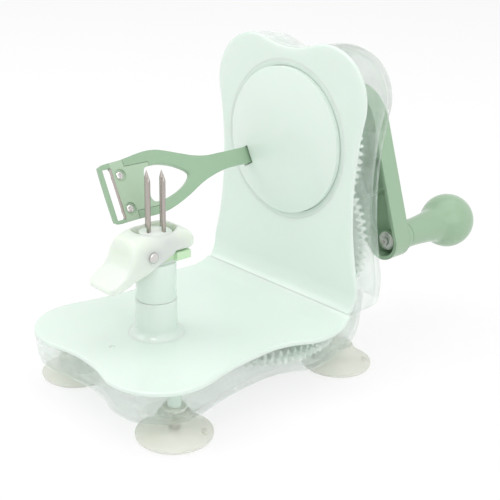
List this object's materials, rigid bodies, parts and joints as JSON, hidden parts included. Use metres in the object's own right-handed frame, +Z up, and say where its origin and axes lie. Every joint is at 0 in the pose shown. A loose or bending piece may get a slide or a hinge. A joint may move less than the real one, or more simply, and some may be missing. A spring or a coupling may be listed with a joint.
{
  "type": "apple peeler",
  "caption": "Hand-cranked apple peeler: a fork on a geared spindle turns the apple while a sprung blade arm swings over it, with the gears in a clear case on suction feet.",
  "frame": {"origin": "on the table plane under the middle of the whole object's box", "axes": "+Z is up, +Y points from the fork to the crank, and +X is to the right seen from the fork's end"},
  "size_m": [0.14, 0.299, 0.2013],
  "materials": {
    "clear_plastic": "clear injection-moulded styrene, polished",
    "mint_plastic": "pale mint plastic with a soft shine",
    "sage_plastic": "sage green plastic with a soft shine",
    "ivory_plastic": "milky greenish white plastic",
    "lime_plastic": "pale green plastic, a little translucent",
    "white_plastic": "white plastic",
    "gear_plastic": "pale green nylon",
    "bush_plastic": "natural white acetal",
    "soft_vinyl": "clear soft vinyl",
    "steel": "stainless steel"
  },
  "bodies": {
    "housing": {"base_shell": "clear_plastic", "tray": "mint_plastic", "front_panel": "mint_plastic", "rear_shell": "clear_plastic", "disc_ring": "mint_plastic", "spindle_post": "mint_plastic", "spindle_bush": "bush_plastic", "step_bush": "bush_plastic", "crown_post": "bush_plastic", "crank_bush": "bush_plastic", "shaft_bush_front": "bush_plastic", "shaft_bush_rear": "bush_plastic", "cup_front_left": "soft_vinyl", "cup_front_right": "soft_vinyl", "cup_rear_left": "soft_vinyl", "cup_rear_right": "soft_vinyl", "foot_screw_left": "steel", "foot_screw_right": "steel"},
    "crank": {"crank_shaft": "steel", "crank_pinion": "gear_plastic", "crank_arm": "sage_plastic", "crank_screw": "steel", "knob_bolt": "steel", "knob_washer": "steel"},
    "knob": {"knob": "sage_plastic"},
    "transfer": {"transfer_shaft": "steel", "transfer_wheel": "gear_plastic", "feed_pinion": "gear_plastic"},
    "crown": {"crown_wheel": "gear_plastic"},
    "spindle": {"spindle_sleeve": "mint_plastic", "spindle_pinion": "gear_plastic", "fork_head": "lime_plastic", "fork_plate": "white_plastic", "tine_front": "steel", "tine_right": "steel", "tine_back": "steel", "tine_left": "steel", "lever_pin": "steel"},
    "lever": {"eject_lever": "ivory_plastic"},
    "arm_disc": {"dome_disc": "mint_plastic", "disc_gear": "gear_plastic", "arm_pin": "steel"},
    "arm": {"peel_arm": "sage_plastic", "blade_holder": "sage_plastic", "blade": "steel", "blade_screw_upper": "steel", "blade_screw_lower": "steel"}
  },
  "joints": [
    {"name": "crank_turn", "type": "hinge", "parent": "housing", "child": "crank", "pos_m": [0, 0.0475, 0.1386], "axis": [0, 1, 0], "range_deg": [0, 2566]},
    {"name": "knob_spin", "type": "hinge", "parent": "crank", "child": "knob", "pos_m": [0.0418, 0.1075, 0.07039], "axis": [0, 1, 0], "continuous": true},
    {"name": "transfer_turn", "type": "hinge", "parent": "housing", "child": "transfer", "pos_m": [0, 0.0275, 0.0756], "axis": [0, 1, 0], "range_deg": [-700, 0]},
    {"name": "crown_turn", "type": "hinge", "parent": "housing", "child": "crown", "pos_m": [0, -0.01975, 0.022], "axis": [0, 0, 1], "range_deg": [-660, 0]},
    {"name": "spindle_turn", "type": "hinge", "parent": "housing", "child": "spindle", "pos_m": [0, -0.0925, 0.048], "axis": [0, 0, 1], "range_deg": [0, 2388]},
    {"name": "arm_swing", "type": "hinge", "parent": "housing", "child": "arm_disc", "pos_m": [0, 0.0125, 0.1386], "axis": [0, 1, 0], "range_deg": [0, 140]},
    {"name": "lever_tilt", "type": "hinge", "parent": "spindle", "child": "lever", "pos_m": [0, -0.1035, 0.091], "axis": [1, 0, 0], "range_deg": [0, 15]},
    {"name": "arm_press", "type": "hinge", "parent": "arm_disc", "child": "arm", "pos_m": [-0.02768, 0.0105, 0.12357], "axis": [0.4772, 0, -0.8788], "range_deg": [0, 9], "stiffness_Nm_per_rad": 0.6, "springref_deg": -28.65}
  ],
  "couplings": [
    {"joint": "transfer_turn", "follows": "crank_turn", "ratio": -0.27273},
    {"joint": "crown_turn", "follows": "crank_turn", "ratio": -0.25714},
    {"joint": "spindle_turn", "follows": "crank_turn", "ratio": 0.93061},
    {"joint": "arm_swing", "follows": "crank_turn", "ratio": 0.054545}
  ]
}
